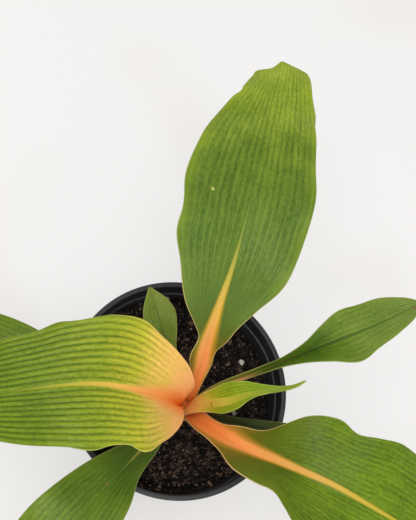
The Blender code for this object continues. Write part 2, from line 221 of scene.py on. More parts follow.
# base: where the stalk stands, length: along the midrib, climb and heading: the midrib's direction
# at equal stations from base to tip, outline: (share of length, half width left, half width right),
# inner and outer: how far each half folds up, at the midrib and at the edge, at equal stations,
# roll: turn about the midrib, ruffle: height of the edge's waves, waves: their number, shift: their start
# pleats: number on each half, depth: of a pleat, start: where they fade in, crease: how strongly painted shade darkens
# their creases and painted light brightens their crests,
# veins: how pale the fine lines between pleats are, nicks: (share, side, depth, width as a share),
# band: (share of length, offset to the right, half width) of the coloured midrib,
# blade and rib: (share, sRGB colour), margin: colour of the line along the edge,
# spots: (share, side from -1 to 1, radius, sRGB colour), gloss: roughness of the upper face,
# flank: sRGB colour along the midrib's edges and where it ends, melt: how far the midrib's colour runs
# out near the base, lime: how yellow the blade turns at its edges, tip: length of the tip's round end
LEAVES = {
    "leaf_back": Leaf(
        base=(5.9, -5.5, 85.3), length=227,
        climb=(74, 68, 38, 5, -11, -14), heading=(77, 87, 78, 78, 76, 72),
        outline=((0, 2.5, 3.5), (0.1, 4.0, 3.5), (0.18, 9, 4.8), (0.23, 12, 5), (0.27, 8.5, 8.5),
                 (0.31, 13, 11.5), (0.36, 20.5, 18), (0.43, 27.5, 26.5), (0.48, 32.5, 29),
                 (0.53, 32.5, 30.5), (0.6, 34.5, 31), (0.68, 32, 29.5), (0.76, 27, 26.5),
                 (0.81, 22.5, 24.5), (0.86, 17.5, 24), (0.92, 13.4, 19.5), (0.948, 11.2, 17.6),
                 (0.957, 8.4, 17), (0.965, 5.6, 16.5), (0.98, 3, 15), (1, 1, 12.3)),
        inner=(5, 35, 28, 14, 10, 8), outer=(30, 45, 14, 5, 0, -5), roll=(0, 0),
        ruffle=1.6, waves=6, shift=(0.1, 0.55), slot="leaf_green", rows=200, columns=144,
        pleats=9, depth=0.18, start=(0.3, 0.5), crease=0.36, veins=0.8,
        nicks=((0.85, -1, 1.1, 0.012),),
        band=((0, 0, 4), (0.1, 0, 4.5), (0.17, -0.8, 5.4), (0.24, -2.4, 5), (0.3, -1.5, 3.4),
              (0.36, -0.8, 2.0), (0.42, -0.2, 1.2), (0.5, 0, 0.6), (0.58, 0, 0.3), (0.66, 0, 0)),
        blade=((0, (120, 92, 26)), (0.22, (104, 88, 20)), (0.28, (76, 90, 30)), (0.36, (74, 94, 38)),
               (0.5, (73, 95, 31)), (0.66, (76, 97, 26)), (0.88, (112, 128, 34)), (1, (122, 134, 40))),
        rib=((0, (232, 122, 50)), (0.1, (248, 152, 78)), (0.17, (242, 158, 94)), (0.25, (226, 160, 90)),
             (0.32, (200, 166, 80)), (0.4, (164, 158, 72)), (0.5, (110, 126, 46)), (0.64, (80, 100, 28))),
        margin=(196, 170, 104), spots=((0.584, -0.58, 1.0, (158, 164, 88)),), gloss=0.42,
        flank=(176, 142, 30, 0.4), melt=0.1, lime=1.0, tip=0.015),
    "leaf_left": Leaf(
        base=(2.8, -9.4, 86.5), length=200,
        climb=(72, 68, 37, -5, -26, -39), heading=(-138, -162, -180, -172, -177, -176),
        outline=((0, 1.5, 6), (0.06, 1.5, 8.2), (0.14, 4, 12.4), (0.2, 8.5, 15),
                 (0.26, 15, 19), (0.32, 22, 23), (0.36, 26, 27), (0.41, 32, 33),
                 (0.47, 29.5, 33), (0.54, 32, 30), (0.58, 30, 30.5), (0.64, 27, 27.5),
                 (0.72, 22.5, 25.5), (0.8, 18, 21), (0.9, 11, 13), (1, 4, 4)),
        inner=(60, 42, 25, 12, 8, 6), outer=(80, 48, 10, -5, -10, -15),
        roll=((0, 0), (0.14, 20), (0.2, 20), (0.4, 0), (1, 0)),
        ruffle=1.2, waves=5, shift=(0.3, 0.7), slot="leaf_yellow_green", rows=140, columns=168,
        pleats=10, depth=0.6, start=(0.28, 0.46), crease=0.8, veins=0.3, nicks=((0.44, -1, 2.0, 0.02),),
        band=((0, 0, 2.4), (0.12, -0.3, 3.4), (0.2, -0.5, 3.6), (0.27, -0.3, 3.2), (0.34, 0, 2.4),
              (0.42, 0, 1.4), (0.5, 0, 1.1), (0.58, 0, 0.7), (0.7, 0, 0.3), (0.8, 0, 0)),
        blade=((0, (232, 128, 54)), (0.1, (230, 146, 84)), (0.2, (220, 158, 106)),
               (0.28, (208, 154, 92)), (0.35, (180, 152, 66)), (0.42, (142, 140, 36)),
               (0.5, (108, 120, 28)), (0.62, (88, 105, 20)), (1, (80, 100, 20))),
        rib=((0, (220, 98, 18)), (0.1, (238, 122, 34)), (0.18, (240, 142, 62)), (0.27, (232, 146, 78)),
             (0.36, (216, 148, 78)), (0.45, (204, 160, 72)), (0.56, (158, 148, 48)), (0.7, (96, 112, 26))),
        margin=(222, 172, 118), melt=0.9,
        spots=((0.125, -0.35, 0.45, (96, 46, 18)), (0.2, -0.85, 0.4, (150, 92, 48))), gloss=0.44),
    "leaf_front_right": Leaf(
        base=(6.9, -13.0, 84.5), length=198,
        climb=(71, 57, 37, 3, -17, -28), heading=(-66, -59, -35, -25, -22, -16),
        outline=((0, 3.5, 3.5), (0.1, 4.5, 6.5), (0.16, 4, 8), (0.23, 5, 9), (0.3, 9, 11),
                 (0.37, 13.5, 15.5), (0.42, 19.5, 15), (0.46, 26, 13.8), (0.5, 30.5, 19),
                 (0.53, 32, 24), (0.58, 29.5, 28), (0.63, 31.5, 30), (0.7, 35, 30),
                 (0.76, 34.5, 28), (0.84, 28, 23), (0.92, 18, 15), (1, 5, 5)),
        inner=(5, 32, 28, 16, 10, 8), outer=(30, 40, 20, 5, -5, -8),
        roll=((0, 0), (0.12, -20), (0.3, -5), (0.5, 0), (1, 0)),
        ruffle=2.0, waves=5, shift=(0.0, 0.45), slot="leaf_green", rows=140, columns=144,
        pleats=14, depth=0.14, start=(0.34, 0.5), crease=0.32, veins=0.15, nicks=(),
        band=((0, 0, 4), (0.1, 0.6, 6.6), (0.2, 1.2, 7.4), (0.28, 0.4, 5.8), (0.35, -1.0, 3.6),
              (0.42, -2.0, 2.3), (0.5, -2.4, 1.65), (0.57, -2.8, 1.35), (0.65, -2.0, 1.1), (0.75, -1, 0.8), (1, 0, 0.4)),
        blade=((0, (190, 124, 58)), (0.15, (158, 112, 40)), (0.24, (120, 96, 22)), (0.33, (84, 82, 12)),
               (0.42, (70, 82, 10)), (0.52, (75, 94, 11)), (0.64, (82, 104, 16)), (1, (84, 106, 20))),
        rib=((0, (236, 124, 50)), (0.1, (246, 146, 72)), (0.2, (236, 144, 74)), (0.3, (222, 144, 78)),
             (0.42, (198, 140, 72)), (0.52, (188, 144, 64)), (0.62, (176, 150, 54)), (0.75, (152, 150, 42)),
             (1, (112, 126, 34))),
        margin=(226, 180, 128), spots=(), gloss=0.42, flank=(150, 114, 24, 0.8), melt=0.15, lime=0.2),
    "leaf_front_left": Leaf(
        base=(1.3, -13.3, 80.5), length=158.3,
        climb=(63, 37, 26, 2, -26, -38), heading=(-138, -132, -131, -129, -130, -130),
        outline=((0, 3, 3), (0.15, 4, 4), (0.28, 7, 6), (0.4, 9, 11), (0.5, 14.5, 16),
                 (0.6, 18, 19.5), (0.7, 20, 21.5), (0.8, 18, 20), (0.9, 11, 13), (1, 4, 4)),
        inner=(5, 30, 20, 12, 8, 5), outer=(25, 40, 5, -5, -10, -10), roll=(0, 0),
        ruffle=1.0, waves=4, shift=(0.2, 0.6), slot="leaf_dark", rows=100, columns=96,
        pleats=7, depth=0.15, start=(0.3, 0.5), crease=0.35, veins=0.15, nicks=(),
        band=((0, 0, 3), (0.2, 0, 1.6), (0.33, 0, 0.8), (0.38, 0, 0.4), (0.6, 0, 0.35), (1, 0, 0.2)),
        blade=((0, (94, 90, 34)), (0.2, (60, 82, 22)), (0.4, (60, 82, 20)), (0.52, (68, 90, 24)),
               (0.62, (74, 96, 24)), (0.75, (92, 110, 32)), (1, (98, 116, 36))),
        rib=((0, (160, 110, 60)), (0.2, (140, 128, 60)), (0.33, (126, 130, 50)), (0.4, (84, 106, 34)),
             (0.5, (68, 96, 24)), (0.6, (70, 98, 20)), (1, (92, 114, 32))),
        margin=(118, 122, 70),
        spots=((0.405, -0.35, 0.8, (78, 66, 25)), (0.49, 0.05, 1.1, (104, 94, 44))), gloss=0.4),
    "leaf_right": Leaf(
        base=(10.6, -6.9, 80.5), length=151,
        climb=(64, 47, 41, 19, -9, -19), heading=(42, 16, 17, 20, 28, 33),
        outline=((0, 2.5, 2.5), (0.2, 2.5, 2.5), (0.33, 2.5, 3.5), (0.44, 3.5, 5.5), (0.52, 6, 8),
                 (0.58, 10.5, 11), (0.65, 14.5, 15.5), (0.73, 13.5, 12), (0.83, 12, 9),
                 (0.92, 8, 6), (1, 2, 2)),
        inner=(5, 35, 45, 30, 15, 10), outer=(25, 60, 60, 20, 5, 0), roll=(0, 0),
        ruffle=0.6, waves=4, shift=(0.1, 0.6), slot="leaf_green", rows=110, columns=72,
        pleats=5, depth=0.1, start=(0.3, 0.55), crease=0.2, veins=0.15, nicks=(),
        band=((0, 0, 2), (0.18, 0.8, 1.5), (0.26, 1.5, 1.3), (0.33, 0.6, 0.7), (0.5, 0, 0.7), (1, 0, 0.3)),
        blade=((0, (124, 104, 44)), (0.24, (104, 108, 36)), (0.36, (54, 80, 16)), (0.52, (56, 82, 16)),
               (0.6, (78, 99, 25)), (0.7, (88, 107, 38)), (1, (94, 112, 48))),
        rib=((0, (196, 128, 80)), (0.26, (206, 150, 96)), (0.31, (100, 112, 38)), (0.34, (58, 82, 18)), (0.4, (44, 66, 13)),
             (0.52, (40, 62, 12)), (0.62, (54, 76, 18)), (0.72, (68, 90, 26)), (1, (82, 104, 36))),
        margin=(150, 146, 84), spots=((0.955, 0.2, 1.0, (110, 76, 54)),), gloss=0.4),
    "leaf_small": Leaf(
        base=(3.3, -3.7, 80.5), length=70,
        climb=(63, 49, 36, 28, 19, 6), heading=(98, 113, 125, 119, 109, 117),
        outline=((0, 2.2, 2.2), (0.3, 2.5, 2.5), (0.5, 5, 4), (0.65, 9, 8), (0.78, 9.4, 9.4),
                 (0.88, 6.4, 6.4), (0.95, 3.0, 2.6), (1, 0.6, 0.6)),
        inner=(5, 35, 40, 38, 22, 8), outer=(25, 60, 45, 30, 16, 4), roll=(0, 0),
        ruffle=0.3, waves=3, shift=(0.0, 0.5), slot="leaf_dull", rows=64, columns=56,
        pleats=4, depth=0.06, start=(0.3, 0.6), crease=0.15, veins=0.1, nicks=(),
        band=((0, 0, 2), (0.3, 0, 1), (0.6, 0, 0.6), (1, 0, 0.3)),
        blade=((0, (114, 100, 48)), (0.4, (88, 100, 42)), (0.7, (102, 118, 48)), (0.85, (96, 110, 42)),
               (1, (96, 108, 44))),
        rib=((0, (140, 100, 62)), (0.4, (84, 94, 40)), (0.7, (94, 110, 44)), (1, (94, 106, 43))),
        margin=(118, 126, 66), spots=(), gloss=0.5),
    "leaf_young": Leaf(
        base=(2.4, -10.7, 85.6), length=92,
        climb=(76, 77, 66, 45, 26, 22), heading=(-27, -23, -10, 6, 2, 31),
        outline=((0, 3.2, 3.6), (0.1, 4.2, 4.0), (0.24, 4.7, 4.7), (0.36, 5, 5.5),
                 (0.46, 6.3, 7.2), (0.55, 8, 8.8), (0.62, 7.5, 7.5), (0.68, 6, 4),
                 (0.74, 4, 1.8), (0.82, 2.5, 1), (0.92, 0.9, 1), (1, 0.4, 0.4)),
        inner=(-10, 0, 25, 20, 15, 20), outer=(-20, 10, 40, 30, 20, 30),
        roll=((0, 0), (0.2, -5), (0.4, -15), (0.6, 0), (1, 0)),
        ruffle=0.4, waves=3, shift=(0.0, 0.5), slot="leaf_yellow_green", rows=90, columns=64,
        pleats=5, depth=0.12, start=(0.4, 0.5), crease=0.35, veins=0.2, nicks=(),
        band=((0, 0, 2.4), (0.3, 0, 2.0), (0.42, 1.0, 2.2), (0.55, 2.0, 2.2), (0.7, 0.5, 1.2), (1, 0, 0.3)),
        blade=((0, (244, 168, 96)), (0.15, (236, 182, 110)), (0.28, (216, 180, 90)), (0.36, (182, 166, 56)),
               (0.44, (142, 142, 30)), (0.55, (112, 126, 20)), (0.7, (108, 128, 22)), (1, (118, 134, 46))),
        rib=((0, (244, 172, 96)), (0.15, (236, 188, 108)), (0.3, (208, 182, 80)), (0.42, (170, 160, 56)),
             (0.52, (180, 166, 60)), (0.62, (150, 152, 42)), (0.8, (114, 132, 34))),
        margin=(228, 196, 140), spots=((0.414, 0.2, 0.5, (92, 66, 14)), (0.424, 0.35, 0.55, (84, 58, 12)),
               (0.436, 0.5, 0.5, (92, 66, 14))), gloss=0.44, melt=0.3),
    "leaf_old": Leaf(
        base=(9.9, -12.2, 80), length=117,
        climb=(56, 40, 23, 2, -8, -20), heading=(-23, -21, -16, -14, -12, -10),
        outline=((0, 2.5, 2.5), (0.15, 2.5, 2.5), (0.3, 3, 4), (0.47, 5.2, 8), (0.65, 9, 12),
                 (0.8, 8.5, 10), (0.92, 5, 6), (1, 2, 2)),
        inner=(5, 30, 20, 12, 8, 5), outer=(25, 40, 5, -5, -10, -10), roll=(0, 0),
        ruffle=0.4, waves=3, shift=(0.2, 0.6), slot="leaf_dark", rows=80, columns=56,
        pleats=5, depth=0.1, start=(0.3, 0.55), crease=0.2, veins=0.1, nicks=(),
        band=((0, 0, 2), (0.3, 0, 0.8), (0.6, 0, 0.4), (1, 0, 0.3)),
        blade=((0, (54, 50, 24)), (0.3, (38, 48, 16)), (0.5, (44, 60, 20)), (0.65, (50, 68, 24)),
               (1, (58, 78, 30))),
        rib=((0, (60, 52, 30)), (0.3, (36, 46, 15)), (1, (52, 72, 27))),
        margin=(60, 72, 40), spots=(), gloss=0.42),
    "leaf_back_left": Leaf(
        base=(-0.4, -7.1, 80), length=171,
        climb=(63, 34, 19, 3, -24, -33), heading=(173, 179, 170, 163, 160, 159),
        outline=((0, 2.5, 2.5), (0.2, 3, 3), (0.35, 6, 6), (0.5, 12, 12), (0.62, 15, 15),
                 (0.75, 15.5, 15.5), (0.87, 11, 12), (1, 3, 3)),
        inner=(5, 30, 20, 12, 8, 5), outer=(25, 40, 5, -5, -10, -10), roll=(0, 0),
        ruffle=0.8, waves=4, shift=(0.4, 0.8), slot="leaf_green", rows=100, columns=80,
        pleats=6, depth=0.12, start=(0.3, 0.5), crease=0.4, veins=0.2, nicks=(),
        band=((0, 0, 2.2), (0.3, 0, 1), (0.6, 0, 0.5), (1, 0, 0.3)),
        blade=((0, (90, 88, 34)), (0.3, (72, 92, 26)), (0.6, (80, 100, 22)), (1, (80, 100, 26))),
        rib=((0, (140, 104, 54)), (0.3, (90, 100, 42)), (1, (84, 100, 36))),
        margin=(120, 128, 66), spots=(), gloss=0.42),
}

# Loose bits seen on the soil: place and size in millimetres, a turn for bark, and how pale each is
PERLITE = ((38.4, 19.5, 1.9, 1.0), (23.2, 16.3, 0.75, 0.45), (30.1, 23.6, 0.55, 0.3), (50.6, 21.0, 0.6, 0.4),
           (48.6, 24.9, 0.5, 0.35), (9.0, 37.2, 0.8, 0.5), (5.7, -30.6, 0.5, 0.3), (34.4, -9.0, 1.4, 0.35),
           (29.1, 8.1, 0.8, 0.4), (-30.0, 38.0, 1.3, 0.9), (-44.0, -12.0, 1.5, 0.8), (18.0, -46.0, 0.5, 0.2))
BARK = ((-6.6, 53.4, 5.0, 0.35, 1.0), (21.1, -48.1, 3.4, 2.4, 0.35), (32.0, 31.0, 3.0, 1.1, 0.3),
        (-24.0, -38.0, 3.6, 0.2, 0.5), (-40.0, 22.0, 4.4, 1.8, 0.6), (12.0, 25.0, 2.6, 2.9, 0.2),
        (44.0, -14.0, 2.8, 0.8, 0.4), (-12.0, -42.0, 2.4, 2.0, 0.2), (30.5, 18.2, 2.2, 0.3, 0.45))
CRACK = (51.2, -112, -58)            # radius, and the angles between which the soil has parted


class PotSettings(bpy.types.PropertyGroup):
    """Size and finish of the nursery pot."""
    rim_radius: FloatProperty(name="Rim radius", description="Outer radius of the pot's lip",
                              default=RIM_RADIUS, unit="LENGTH")
    height: FloatProperty(name="Height", description="Height of the pot", default=POT_HEIGHT,
                          unit="LENGTH")
    colour: FloatVectorProperty(name="Plastic", description="Colour of the pot's plastic",
                                default=srgb(17, 18, 20), subtype="COLOR", min=0, max=1)
    roughness: FloatProperty(name="Roughness", description="Roughness of the pot's plastic",
                             default=0.5, min=0, max=1, subtype="FACTOR")


class SoilSettings(bpy.types.PropertyGroup):
    """Potting soil and the loose grains on it."""
    colour: FloatVectorProperty(name="Soil", description="Colour of the damp soil",
                                default=srgb(48, 37, 31), subtype="COLOR", min=0, max=1)
    crumb_colour: FloatVectorProperty(name="Crumbs", description="Colour of the drier crumbs",
                                      default=srgb(96, 77, 65), subtype="COLOR", min=0, max=1)
    perlite_colour: FloatVectorProperty(name="Perlite", description="Colour of the perlite grains",
                                        default=srgb(196, 190, 176), subtype="COLOR", min=0, max=1)
    crumbs: IntProperty(name="Crumbs", description="Number of loose crumbs on the soil",
                        default=2400, min=0, max=4000)


class LeafSettings(bpy.types.PropertyGroup):
    """What all the leaves share."""
    blade_thickness: FloatProperty(name="Blade", description="Thickness of a leaf's edge",
                                   default=0.4 * MM, unit="LENGTH")
    margin_width: FloatProperty(name="Margin line", description="Width of the pale line at the edge",
                                default=0.3, min=0, max=3)
    scuff_colour: FloatVectorProperty(name="Scuffs", description="Colour of the small pale scuffs",
                                      default=srgb(144, 158, 104), subtype="COLOR", min=0, max=1)
    underside_colour: FloatVectorProperty(name="Underside", description="Tint of the leaves' undersides",
                                          default=srgb(118, 132, 82), subtype="COLOR", min=0, max=1)


class StageSettings(bpy.types.PropertyGroup):
    """Floor and light of the studio."""
    floor_colour: FloatVectorProperty(name="Floor", description="Colour of the floor",
                                      default=srgb(138, 137, 136), subtype="COLOR", min=0, max=1)
    key_power: FloatProperty(name="Key light", description="Power of the large light overhead",
                             default=9.5, min=0, unit="POWER")
    fill_power: FloatProperty(name="Front fill", description="Power of the low light at the front",
                              default=1.2, min=0, unit="POWER")
    ambient: FloatProperty(name="Ambient", description="Strength of the even light all round",
                           default=0.9, min=0)


class Finish:
    """A material and short ways to add its nodes."""

    def __init__(self, name, roughness):
        self.material = bpy.data.materials.new(name)
        self.material.use_nodes = True
        self.tree = self.material.node_tree
        self.shader = self.tree.nodes["Principled BSDF"]
        self.shader.inputs["Roughness"].default_value = roughness

    def feed(self, socket, value):
        """Links a socket into the input, or sets a number or a colour there."""
        if isinstance(value, bpy.types.NodeSocket):
            self.tree.links.new(value, socket)
        elif socket.type == "RGBA":
            socket.default_value = (*value[:3], 1)
        else:
            socket.default_value = value

    def node(self, kind, inputs=None, **settings):
        made = self.tree.nodes.new("ShaderNode" + kind)
        for name, value in settings.items():
            setattr(made, name, value)
        for key, value in (inputs or {}).items():
            self.feed(made.inputs[key], value)
        return made

    def math(self, operation, first, second=0.0, third=0.0):
        made = self.node("Math", {0: first, 1: second}, operation=operation)
        if operation in ("MULTIPLY_ADD", "COMPARE"):
            self.feed(made.inputs[2], third)
        return made.outputs[0]

    def mix(self, share, first, second, blend="MIX"):
        """Mixes two colours by a share from 0 to 1."""
        made = self.node("Mix", {0: share, 6: first, 7: second}, data_type="RGBA", blend_type=blend)
        return made.outputs[2]

    def ease(self, value, low, high):
        """0 where the value is at low, rising smoothly to 1 at high."""
        made = self.node("MapRange", {"Value": value, "From Min": low, "From Max": high},
                         interpolation_type="SMOOTHSTEP")
        return made.outputs["Result"]

    def attribute(self, name):
        return self.node("Attribute", attribute_name=name).outputs["Fac"]

    def place(self):
        return self.node("TexCoord").outputs["Object"]

    def uv(self):
        """Shares across and along a leaf."""
        parts = self.node("SeparateXYZ", {0: self.node("UVMap", uv_map="UVMap").outputs[0]})
        return parts.outputs[0], parts.outputs[1]

    def vector(self, x, y, z=0.0):
        return self.node("CombineXYZ", {0: x, 1: y, 2: z}).outputs[0]

    def noise(self, place, scale, detail=3.0, roughness=0.55, stretch=0.0):
        made = self.node("TexNoise", {"Vector": place, "Scale": scale, "Detail": detail,
                                      "Roughness": roughness, "Distortion": stretch})
        return made.outputs["Fac"]

    def ramp(self, share, stops):
        """A colour ramp whose stops are (share, linear colour)."""
        made = self.node("ValToRGB", {"Fac": share})
        band = made.color_ramp
        band.interpolation = "LINEAR"
        while len(band.elements) < len(stops):
            band.elements.new(0.5)
        for element, (spot, colour) in zip(band.elements, stops):
            element.position = spot
            element.color = (*colour, 1)
        return made.outputs["Color"]

    def bump(self, height, strength, distance):
        made = self.node("Bump", {"Strength": strength, "Distance": distance, "Height": height})
        self.feed(self.shader.inputs["Normal"], made.outputs[0])

    def colour(self, value):
        self.feed(self.shader.inputs["Base Color"], value)

    def roughness(self, value):
        self.feed(self.shader.inputs["Roughness"], value)


def add_piece(name, mesh, slot, *nodes):
    """An object for a finished mesh, which rides on the plant's one body."""
    piece = bpy.data.objects.new(name, mesh)
    bpy.context.scene.collection.objects.link(piece)
    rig.ride(piece, "root")
    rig.slot(piece, slot)
    if nodes:
        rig.replaces(piece, *nodes)
    return piece


def spun(profile, steps):
    """A bmesh of a profile of (radius, height) points spun once round Z."""
    body = bmesh.new()
    points = [body.verts.new((radius, 0, height)) for radius, height in profile]
    edges = [body.edges.new(pair) for pair in zip(points, points[1:])]
    bmesh.ops.spin(body, geom=points + edges, axis=(0, 0, 1), cent=(0, 0, 0),
                   angle=2 * math.pi, steps=steps, use_merge=True)
    bmesh.ops.remove_doubles(body, verts=body.verts, dist=0.005 * MM)
    bmesh.ops.recalc_face_normals(body, faces=body.faces)
    return body


def finished_mesh(name, body, *materials):
    mesh = bpy.data.meshes.new(name)
    body.to_mesh(mesh)
    body.free()
    mesh.shade_smooth()
    for material in materials:
        mesh.materials.append(material)
    return mesh


def arc(centre, radius, start, end, steps):
    """Points of an arc round a centre, angles in degrees."""
    angles = [math.radians(start + (end - start) * step / steps) for step in range(steps + 1)]
    return [(centre[0] + radius * math.cos(a), centre[1] + radius * math.sin(a)) for a in angles]


def curve(points, place):
    """A smooth curve through (place, value) points, or through values at equal stations."""
    p = np.asarray(points, float)
    if p.ndim == 1:
        p = np.column_stack([np.linspace(0, 1, len(p)), p])
    x, y = p[:, 0], p[:, 1]
    place = np.clip(place, x[0], x[-1])
    slope = np.gradient(y, x)
    i = np.clip(np.searchsorted(x, place, side="right") - 1, 0, len(x) - 2)
    step = x[i + 1] - x[i]
    f = (place - x[i]) / step
    return ((2 * f**3 - 3 * f**2 + 1) * y[i] + (f**3 - 2 * f**2 + f) * step * slope[i]
            + (3 * f**2 - 2 * f**3) * y[i + 1] + (f**3 - f**2) * step * slope[i + 1])


def inner_radius(height):
    """Radius of the pot's inner wall, below the collar."""
    top = RIM_RADIUS - LIP_WIDTH - COLLAR_TAPER - STEP_WIDTH
    bottom = FOOT_RADIUS - WALL
    share = (height - FLOOR_THICKNESS) / (POT_HEIGHT - COLLAR_HEIGHT - FLOOR_THICKNESS)
    return bottom + (top - bottom) * share


def pot_finish(settings):
    """Moulded black plastic: fine grain, faint flow marks round it, dust and pale specks."""
    finish = Finish("pot_plastic", settings.roughness)
    place = finish.place()
    grain = finish.noise(place, 1800, 3)
    dust = finish.noise(place, 60, 6, 0.65)
    specks = finish.noise(place, 900, 2, 0.7)
    squash = finish.node("Mapping", {"Vector": place, "Scale": (20, 20, 420)}).outputs[0]
    marks = finish.noise(squash, 1, 3)
    plastic = finish.mix(marks, settings.colour, [channel * 1.5 for channel in settings.colour])
    worn = finish.mix(finish.math("MULTIPLY", finish.ease(dust, 0.5, 0.8), 0.5), plastic,
                      srgb(52, 52, 52))
    speckled = finish.mix(finish.math("MULTIPLY", finish.ease(specks, 0.66, 0.74), 0.35), worn,
                          srgb(84, 80, 74))
    finish.colour(speckled)
    finish.roughness(finish.math("MULTIPLY_ADD", dust, 0.22, settings.roughness - 0.1))
    finish.bump(finish.math("MULTIPLY_ADD", marks, 0.5, grain), 0.25, 0.1 * MM)
    return finish.material


def pot_profile():
    """The pot's wall from the middle of its floor, up inside, over the lip and down outside."""
    step = POT_HEIGHT - COLLAR_HEIGHT
    lip_inside = RIM_RADIUS - LIP_WIDTH
    under_lip = POT_HEIGHT - LIP_DEPTH
    lip_top = POT_HEIGHT - LIP_ROUND
    floor = [(inner_radius(FLOOR_THICKNESS) * share, FLOOR_THICKNESS) for share in (0, 0.4, 0.8)]
    inside = [(inner_radius(FLOOR_THICKNESS + 1 * MM), FLOOR_THICKNESS + 1 * MM),
              (inner_radius(step * 0.35), step * 0.35), (inner_radius(step * 0.7), step * 0.7)]
    collar = [(inner_radius(step - 0.3 * MM), step - 0.3 * MM),
              (inner_radius(step) + 0.1 * MM, step),
              (lip_inside - COLLAR_TAPER - 0.15 * MM, step + 0.3 * MM),
              (lip_inside - COLLAR_TAPER, step + 0.8 * MM),
              (lip_inside - 0.1 * MM, lip_top - 1.2 * MM)]
    lip = (arc((lip_inside + LIP_ROUND, lip_top), LIP_ROUND, 180, 90, 4)
           + arc((RIM_RADIUS - LIP_ROUND, lip_top), LIP_ROUND, 90, 0, 4)
           + arc((RIM_RADIUS - 0.3 * MM, under_lip + 0.3 * MM), 0.3 * MM, 0, -90, 3))
    outside = [(lip_inside + WALL + 0.3 * MM, under_lip),
               (lip_inside + WALL, under_lip - 0.3 * MM),
               (lip_inside - COLLAR_TAPER + WALL, step - 0.6 * WALL),
               (lip_inside - COLLAR_TAPER + WALL - 0.3 * MM, step - WALL),
               (inner_radius(step - WALL) + WALL, step - 1.5 * WALL),
               (inner_radius(step - WALL) + WALL, step - 2 * WALL)]
    foot = [(FOOT_RADIUS + 0.05 * MM, FOOT_CHAMFER),
            (FOOT_RADIUS - 0.2 * FOOT_CHAMFER, 0.3 * FOOT_CHAMFER),
            (FOOT_RADIUS - 0.5 * FOOT_CHAMFER, 0),
            (FOOT_RADIUS - 5 * MM, 0), (0.5 * FOOT_RADIUS, 0), (0, 0)]
    return floor + inside + collar + lip + outside + foot


def drilled(mesh):
    """The pot's mesh with its drain holes cut through the floor."""
    drill = bmesh.new()
    for number in range(DRAIN_HOLES):
        angle = 2 * math.pi * (number + 0.5) / DRAIN_HOLES
        place = (DRAIN_CIRCLE * math.cos(angle), DRAIN_CIRCLE * math.sin(angle), 0)
        bmesh.ops.create_cone(drill, cap_ends=True, segments=32, radius1=DRAIN_RADIUS,
                              radius2=DRAIN_RADIUS, depth=4 * FLOOR_THICKNESS,
                              matrix=Matrix.Translation(place))
    cutter = bpy.data.objects.new("drain_cutter", finished_mesh("drain_cutter", drill))
    blank = bpy.data.objects.new("pot_blank", mesh)
    for thing in (cutter, blank):
        bpy.context.scene.collection.objects.link(thing)
    boolean = blank.modifiers.new("Drill", "BOOLEAN")
    boolean.operation = "DIFFERENCE"
    boolean.object = cutter
    bpy.context.view_layer.update()
    cut = bpy.data.meshes.new_from_object(blank.evaluated_get(bpy.context.evaluated_depsgraph_get()))
    for thing in (cutter, blank):
        bpy.data.objects.remove(thing)
    cut.name = "nursery_pot"
    return cut


def soil_height(x, y):
    """Height of the soil's top at a place, as in the packed soil: its tilt, lumps and mound."""
    lumps = noise.noise(Vector((x, y, 0)) / LUMP_SIZE) * LUMP_HEIGHT
    grains = noise.noise(Vector((x, y, 1 * MM)) / GRAIN_SIZE) * GRAIN_HEIGHT
    mound = 1.5 * MM * math.exp(-((x - CROWN_X)**2 + (y - CROWN_Y)**2) / (18 * MM)**2)
    return SOIL_HEIGHT + SOIL_TILT.dot(Vector((x, y))) + lumps + grains + mound


def crumb_relief(x, y):
    """Small round crumbs packed side by side, and the sunken gaps between them, which the soil's finish darkens with
    painted shade.
    """
    place = Vector((x, y, 2 * MM)) / CRUMB_SPACING
    near, next_near = noise.voronoi(place)[0][:2]
    rough = noise.fractal(Vector((x, y, 3 * MM)) / (1.1 * MM), 0.8, 2.0, 3)
    clods = noise.noise(Vector((x, y, 5 * MM)) / CLOD_SIZE)
    return CRUMB_DEPTH * (min(next_near - near, 0.5) * 2 - 0.7) + 0.2 * MM * rough + CLOD_HEIGHT * clods


def settled_crack(x, y):
    """Depth of the crack where the soil has parted from the pot's wall at the front."""
    radius, start, end = CRACK
    angle = math.degrees(math.atan2(y, x)) + 2.5 * noise.noise(Vector((x, y, 0)) / (4 * MM))
    wander = 0.5 * MM * noise.noise(Vector((x, y, 8 * MM)) / (6 * MM))
    near = math.exp(-((math.hypot(x, y) + wander - radius * MM) / CRACK_WIDTH)**2)
    inside = min(max(min(angle - start, end - angle) / 12, 0), 1)
    return CRACK_DEPTH * near * inside


